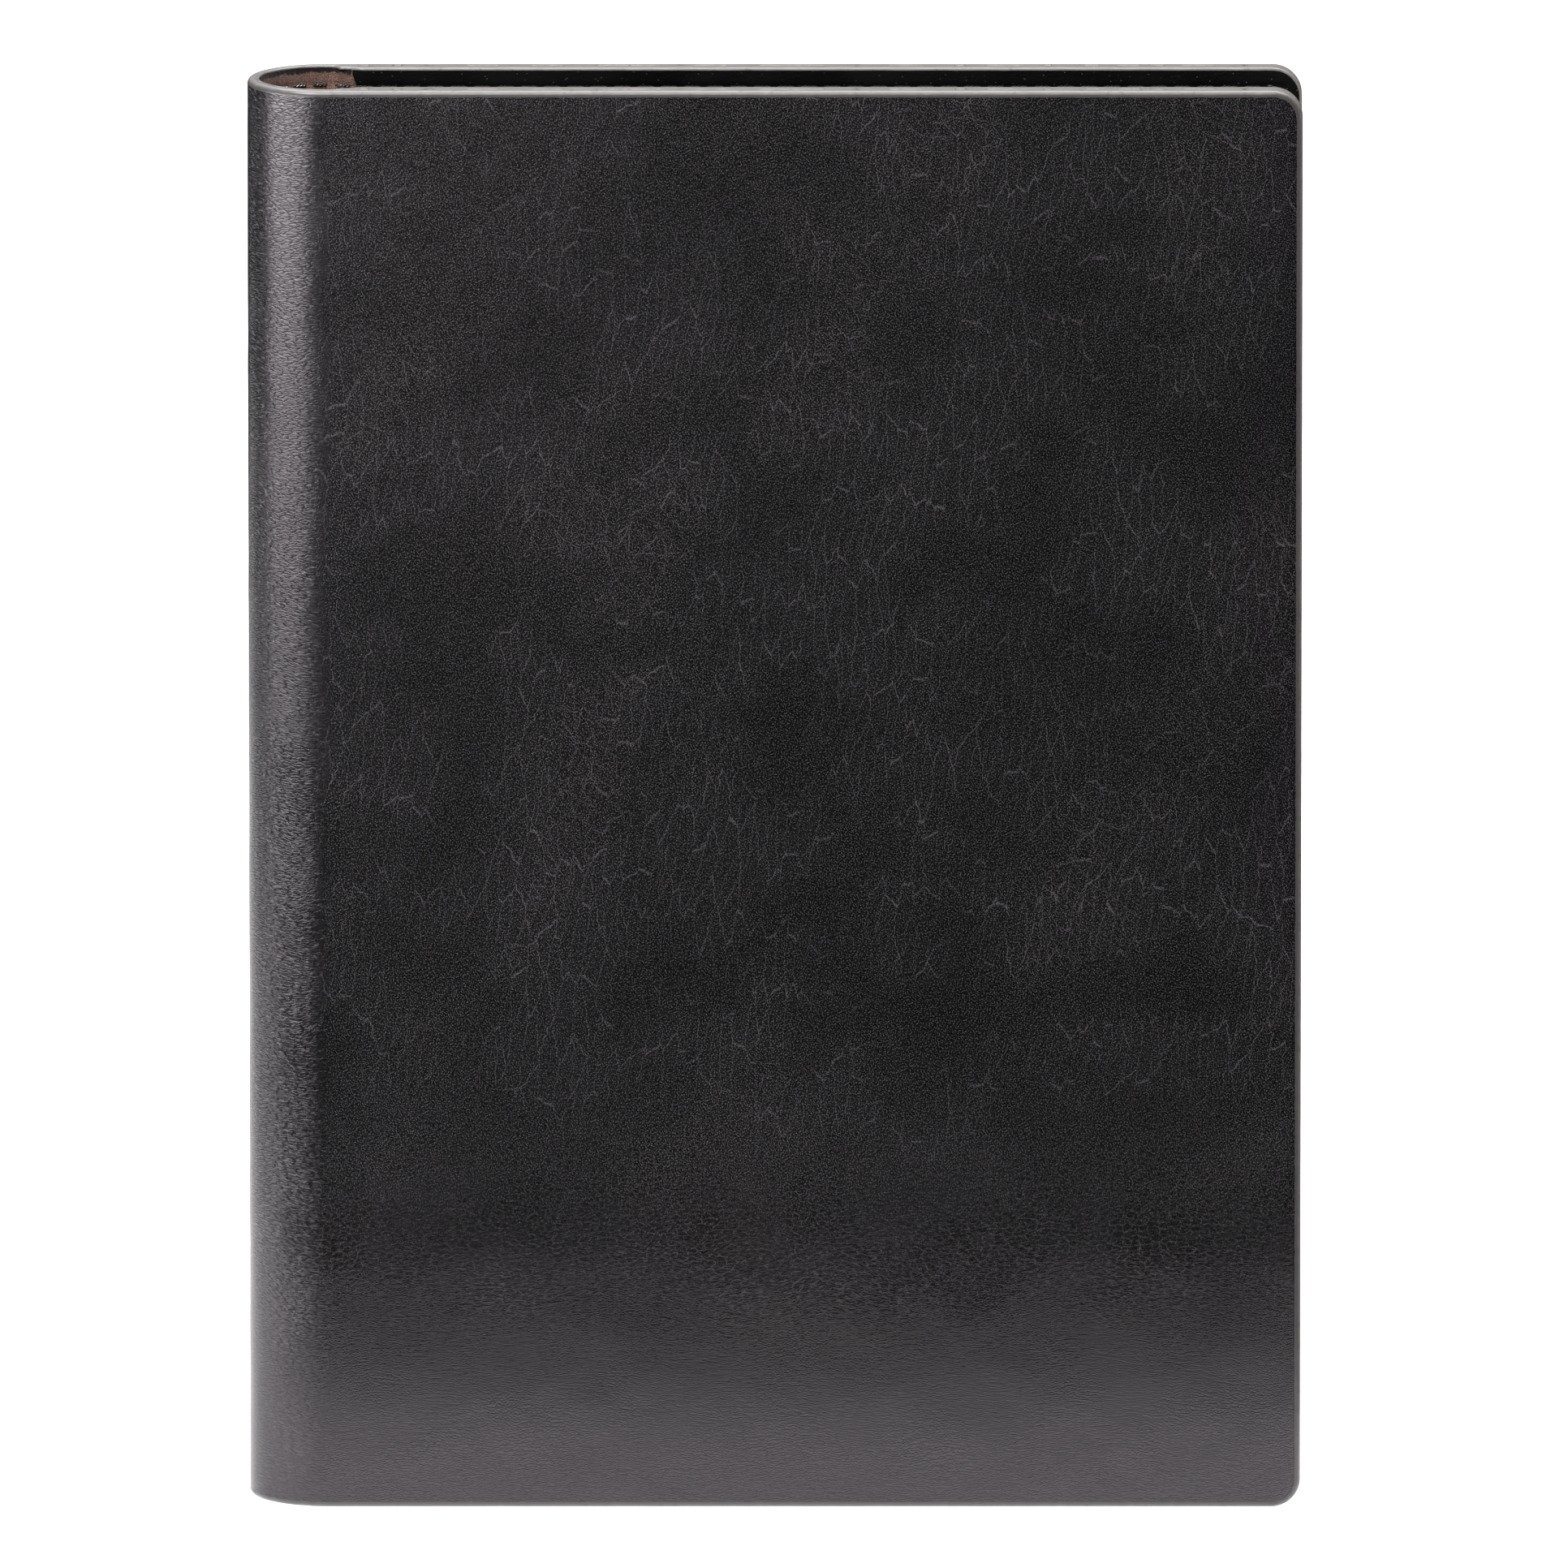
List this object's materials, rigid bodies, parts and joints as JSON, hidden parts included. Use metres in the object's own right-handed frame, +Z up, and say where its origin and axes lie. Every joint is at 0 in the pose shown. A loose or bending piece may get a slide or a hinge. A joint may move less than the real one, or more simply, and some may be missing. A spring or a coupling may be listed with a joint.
{
  "type": "leather notebook cover",
  "caption": "Leather notebook cover with a soft rounded spine, stiffened covers with painted edges, a suede lining and sewn inner pockets that hold a notebook's own covers.",
  "frame": {"origin": "centre of the closed cover's footprint, on the surface it stands on", "axes": "+Z up along the spine, +Y out of the back cover's outer face, +X from the spine towards the opening side"},
  "size_m": [0.162, 0.02, 0.224],
  "materials": {
    "outer_leather": "semi-gloss pebbled",
    "board": "matt",
    "suede_lining": "matt suede",
    "pocket_leather": "matt",
    "thread": "waxed"
  },
  "bodies": {
    "back_cover": {"back_board": "board", "back_lining": "suede_lining", "back_outer_leather": "outer_leather", "back_pocket": "pocket_leather", "back_stitching": "thread"},
    "spine_1": {"spine_1_bottom_stitching": "thread", "spine_1_lining": "suede_lining", "spine_1_outer_leather": "outer_leather", "spine_1_top_stitching": "thread"},
    "spine_2": {"spine_2_bottom_stitching": "thread", "spine_2_lining": "suede_lining", "spine_2_outer_leather": "outer_leather", "spine_2_top_stitching": "thread"},
    "spine_3": {"spine_3_bottom_stitching": "thread", "spine_3_lining": "suede_lining", "spine_3_outer_leather": "outer_leather", "spine_3_top_stitching": "thread"},
    "spine_4": {"spine_4_bottom_stitching": "thread", "spine_4_lining": "suede_lining", "spine_4_outer_leather": "outer_leather", "spine_4_top_stitching": "thread"},
    "front_cover": {"front_board": "board", "front_lining": "suede_lining", "front_outer_leather": "outer_leather", "front_pocket": "pocket_leather", "front_stitching": "thread"}
  },
  "joints": [
    {"name": "spine_bend_1", "type": "hinge", "parent": "back_cover", "child": "spine_1", "pos_m": [-0.07355, 0.00921, 0.112], "axis": [0, 0, -1], "range_deg": [-0.8, 36]},
    {"name": "spine_bend_2", "type": "hinge", "parent": "spine_1", "child": "spine_2", "pos_m": [-0.07938, 0.00497, 0.112], "axis": [0, 0, -1], "range_deg": [-0.8, 36]},
    {"name": "spine_bend_3", "type": "hinge", "parent": "spine_2", "child": "spine_3", "pos_m": [-0.081, 0, 0.112], "axis": [0, 0, -1], "range_deg": [-0.8, 36]},
    {"name": "spine_bend_4", "type": "hinge", "parent": "spine_3", "child": "spine_4", "pos_m": [-0.07938, -0.00497, 0.112], "axis": [0, 0, -1], "range_deg": [-0.8, 36]},
    {"name": "spine_bend_5", "type": "hinge", "parent": "spine_4", "child": "front_cover", "pos_m": [-0.07355, -0.00921, 0.112], "axis": [0, 0, -1], "range_deg": [-0.8, 36]}
  ]
}
